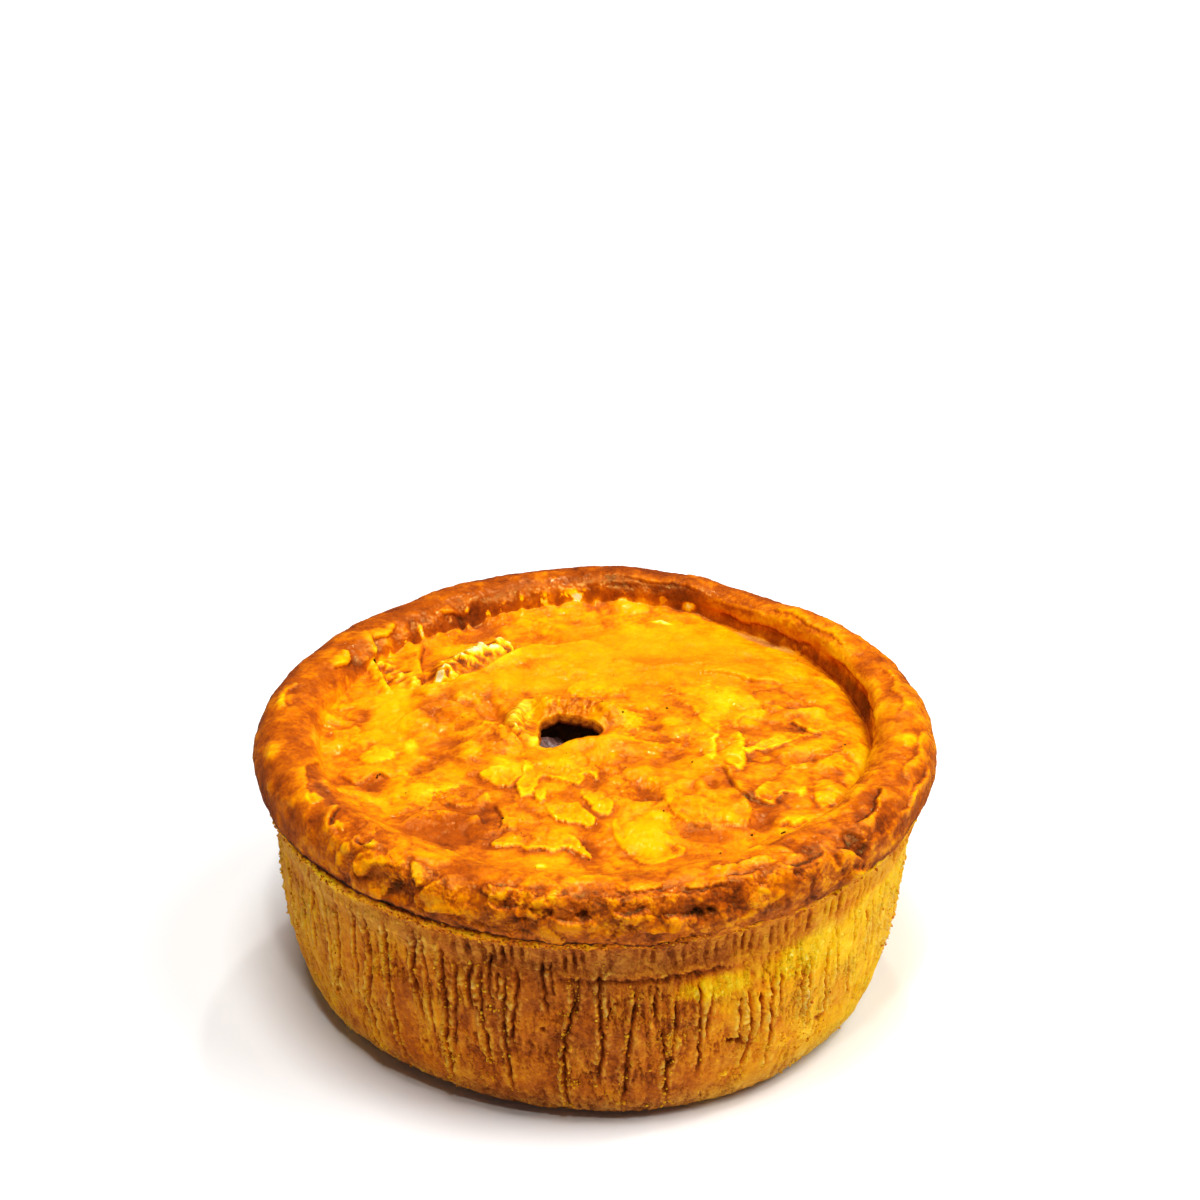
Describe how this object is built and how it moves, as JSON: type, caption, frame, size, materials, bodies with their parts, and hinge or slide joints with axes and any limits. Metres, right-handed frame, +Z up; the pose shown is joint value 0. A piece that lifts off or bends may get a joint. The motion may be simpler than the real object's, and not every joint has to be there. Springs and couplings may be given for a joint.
{
  "type": "pork pie",
  "caption": "Whole round raised pie with a rolled overhanging rim, a low glazed lid with an oval steam hole, and a creased barrel-shaped case on a flat base.",
  "frame": {"origin": "centre of the flat base, on the surface that the pie stands on", "axes": "+Z up out of the lid; -Y towards the side that faces the viewer, +X to the viewer's right; the deepest stretch of the groove between lid and rim lies towards +X +Y"},
  "size_m": [0.1198, 0.1189, 0.0499],
  "materials": {
    "baked_crust": "egg-glazed baked hot-water crust pastry, golden on the lid, browner on the rim and wall",
    "pork_filling": "cooked minced pork, moist, seen down the steam hole"
  },
  "bodies": {
    "root": {"pie": "baked_crust"}
  },
  "joints": []
}
